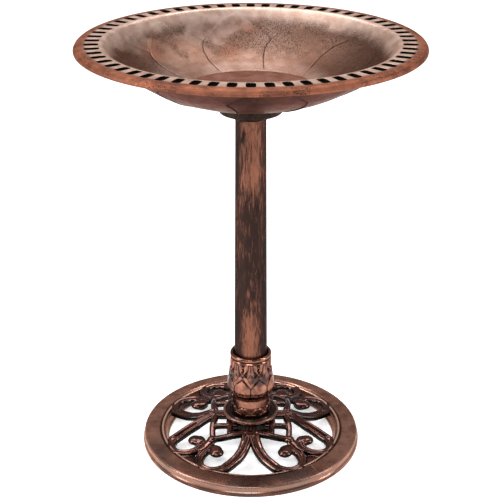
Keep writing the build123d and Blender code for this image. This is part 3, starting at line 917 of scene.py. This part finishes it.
def make_hub():
    """Square frame, lattice, stems and corner knobs between the drum and the scrolls."""
    cast = Cast()
    for quarters in range(4):
        for s in (-1, 1):
            edge = [(s * 61, -60), (s * 50, -61.5), (s * 36, -62), (s * 22, -60.5), (s * 8, -57)]
            lattice = [(s * 60, -34), (s * 45, -34), (s * 20, -34)]
            stem = [(s * 5.5, -30), (s * 5.2, -48), (s * 4.6, -70)]
            cast.stroke(quarter_turned(edge, quarters), (10, 10), ROUND_SECTION)
            cast.stroke(quarter_turned(lattice, quarters), (9, 9), ROUND_SECTION, -1)
            cast.stroke(quarter_turned(stem, quarters), (8, 8), ROUND_SECTION, -0.4)
        cast.knob(*quarter_turned([(-61.5, -61.5)], quarters)[0], 8.6, 2.0)
    verts, faces = cast.merged()
    build("hub_lattice", verts, faces, COPPER_SCROLL, "base", ("hub_frame",))


# ---- turned pieces ------------------------------------------------------------------------
def make_ring():
    """Foot ring with its outer bead, its groove and its stepped inner wall."""
    top = RING_TOP / MM
    reach = RING_R / MM
    shoulder = top - 3.1
    ring = [(135, 0, 0.6), (139, 0, 0.6), (139, 5, 2), (147, top - 6, 2), (reach - 8, shoulder - 4, 2),
            (reach - 4, shoulder - 7, 1.5), (reach - 4, 0, 0.6), (reach - 0.2, 0, 1.2),
            (reach - 0.1, 5.8, 2.4), (reach - 2.1, 8, 0.8), (reach - 2.2, shoulder, 3.0),
            (150.6, top, 1.0), (148.6, top - 2.4, 0.7), (147.2, top - 2.4, 0.7), (146.4, top - 0.4, 1.0),
            (143.2, top - 0.9, 1.4), (142.4, top - 5.2, 0.8), (139.6, top - 5.6, 1.0),
            (138.2, top - 9.5, 0.8), (136.4, 6, 1.0), (135, 4, 1.2)]
    lathe("foot_ring", rounded(ring), 384, COPPER_RING, "base", ("base_ring",))


def make_socket():
    """Skirted boss under the bowl, with the bore for the spigot."""
    pad, foot = BOWL_PAD_Z / MM, SOCKET_FOOT / MM
    skirt = pad - 18
    cap, wide = CAP_R / MM, SOCKET_R / MM
    socket = [(0, pad - 5, 0), (20.4, pad - 5, 0.4), (20.4, foot, 0.4), (cap, foot, 0.8),
              (cap + 1, pad - 5, 2), (wide - 4, pad - 5, 2), (wide - 4, skirt, 0.8), (wide, skirt, 1.8),
              (wide, pad, 0.8), (0, pad, 0)]
    lathe("socket", rounded(socket), 256, COPPER_DARK, "bowl", ("bowl_socket",))


def make_cap():
    """Cap plugged into the pole, with its lip ring and the spigot that carries the bowl."""
    neck, plug, crown = POLE_TOP / MM, CAP_FOOT / MM, CAP_TOP / MM
    reach, seat = CAP_R / MM, SOCKET_FOOT / MM
    cap = [(0, plug, 0), (21.6, plug, 0.5), (21.6, neck, 0.2), (reach, neck, 0.9), (reach, seat, 1.2),
           (20, seat, 0.4), (20, crown, 1.6), (0, crown, 0)]
    lathe("cap", rounded(cap), 192, COPPER_POLE, "pole", ("pole_cap",))


def make_drum():
    """Hollow drum in the middle of the base."""
    web, foot, top = 37, DRUM_FOOT / MM, DISH_LOW / MM
    drum = [(4.4, web, 0.5), (29, web, 2), (30, foot, 0.5), (40.8, foot, 1.0), (40.4, 24.2, 1.6),
            (36.0, 27.5, 2.5), (35.0, top, 0.5), (4.4, top, 0.4)]
    lathe("drum", rounded(drum), 192, COPPER_SCROLL, "base", ("hub_drum",))


def make_dish():
    """Shallow dish with a raised outer rim and a ring round the collar's foot."""
    foot, rim, wide = DISH_LOW / MM, DISH_TOP / MM, DISH_R / MM
    dish = [(4.4, foot, 0.3), (38, foot, 3), (wide - 0.2, foot + 2.4, 2.2), (wide, rim, 1.9),
            (wide - 4.0, rim, 1.6), (wide - 5.4, foot + 4.6, 1.2), (37.4, foot + 4.4, 0.8),
            (36.4, rim - 0.6, 0.8), (34.4, rim - 0.6, 0.8), (33.0, foot + 3, 1.4), (4.4, foot + 3, 0.3)]
    lathe("dish", rounded(dish), 256, COPPER_DISH, "base", ("drip_dish",))


make_bowl()
make_collar()
make_scrolls()
make_hub()
make_ring()
make_socket()
make_cap()
make_drum()
make_dish()

# The pole and the fasteners keep their CAD shape and only get a material.
CARRIED = {"pole_tube": COPPER_POLE, "socket_screws": STEEL,
           "hub_bolt": STEEL, "hub_washer": STEEL, "hub_nut": STEEL}
for node, material in CARRIED.items():
    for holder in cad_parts[node].material_slots:
        holder.material = material


# ---- floor, light and camera --------------------------------------------------------------
FLOOR_REACH = 40
CAMERA_PLACE = (-0.0012, -1.69006, 1.08831)
CAMERA_TILT = math.radians(65.96)
CAMERA_LENS = 86.145


def make_floor():
    material = bpy.data.materials.new("pale_floor")
    material.use_nodes = True
    shader = material.node_tree.nodes["Principled BSDF"]
    shader.inputs["Base Color"].default_value = (0.90, 0.90, 0.90, 1)
    shader.inputs["Roughness"].default_value = 0.6
    shader.inputs["Emission Color"].default_value = (1, 1, 1, 1)
    shader.inputs["Emission Strength"].default_value = 0.50
    mesh = bpy.data.meshes.new("floor")
    corners = [(x * FLOOR_REACH, y * FLOOR_REACH, 0) for x, y in ((-1, -1), (1, -1), (1, 1), (-1, 1))]
    mesh.from_pydata(corners, [], [(0, 1, 2, 3)])
    mesh.materials.append(material)
    floor = bpy.data.objects.new("floor", mesh)
    bpy.context.scene.collection.objects.link(floor)


def aimed(name, data, place, target):
    """Light at a place, turned towards a target."""
    obj = bpy.data.objects.new(name, data)
    obj.location = place
    obj.rotation_euler = (Vector(target) - obj.location).to_track_quat("-Z", "Y").to_euler()
    bpy.context.scene.collection.objects.link(obj)


def make_panel(name, place, target, size, power):
    data = bpy.data.lights.new(name, "AREA")
    data.shape = "RECTANGLE"
    data.size, data.size_y = size
    data.energy = power
    aimed(name, data, place, target)


def make_sky(name, place, strength, spread):
    data = bpy.data.lights.new(name, "SUN")
    data.energy = strength
    data.angle = math.radians(spread)
    aimed(name, data, place, (0, 0, 0))


def make_camera():
    data = bpy.data.cameras.new("camera")
    data.lens = CAMERA_LENS
    data.sensor_width = 36
    camera = bpy.data.objects.new("camera", data)
    camera.location = CAMERA_PLACE
    camera.rotation_euler = (CAMERA_TILT, 0, 0)
    bpy.context.scene.collection.objects.link(camera)
    bpy.context.scene.camera = camera


def make_world():
    world = bpy.data.worlds.new("studio")
    world.use_nodes = True
    background = world.node_tree.nodes["Background"]
    background.inputs["Color"].default_value = (1, 1, 1, 1)
    background.inputs["Strength"].default_value = 0.35
    bpy.context.scene.world = world


make_floor()
make_world()
make_sky("soft_sky", (-0.50, 0.15, 1.8), 1.75, 50)
make_panel("left_box", (-1.6, -0.5, 1.1), (0, 0, 0.2), (0.3, 1.6), 26)
make_panel("right_box", (1.6, -0.3, 1.0), (0, 0, 0.2), (0.25, 1.4), 16)
make_panel("top_box", (0.0, 1.1, 2.3), (0, 0, 0.4), (2.2, 0.5), 26)
make_panel("front_box", (-0.3, -2.0, 2.0), (0, 0, 0.4), (1.3, 0.35), 26)
make_camera()
bpy.context.scene.view_settings.view_transform = "Standard"
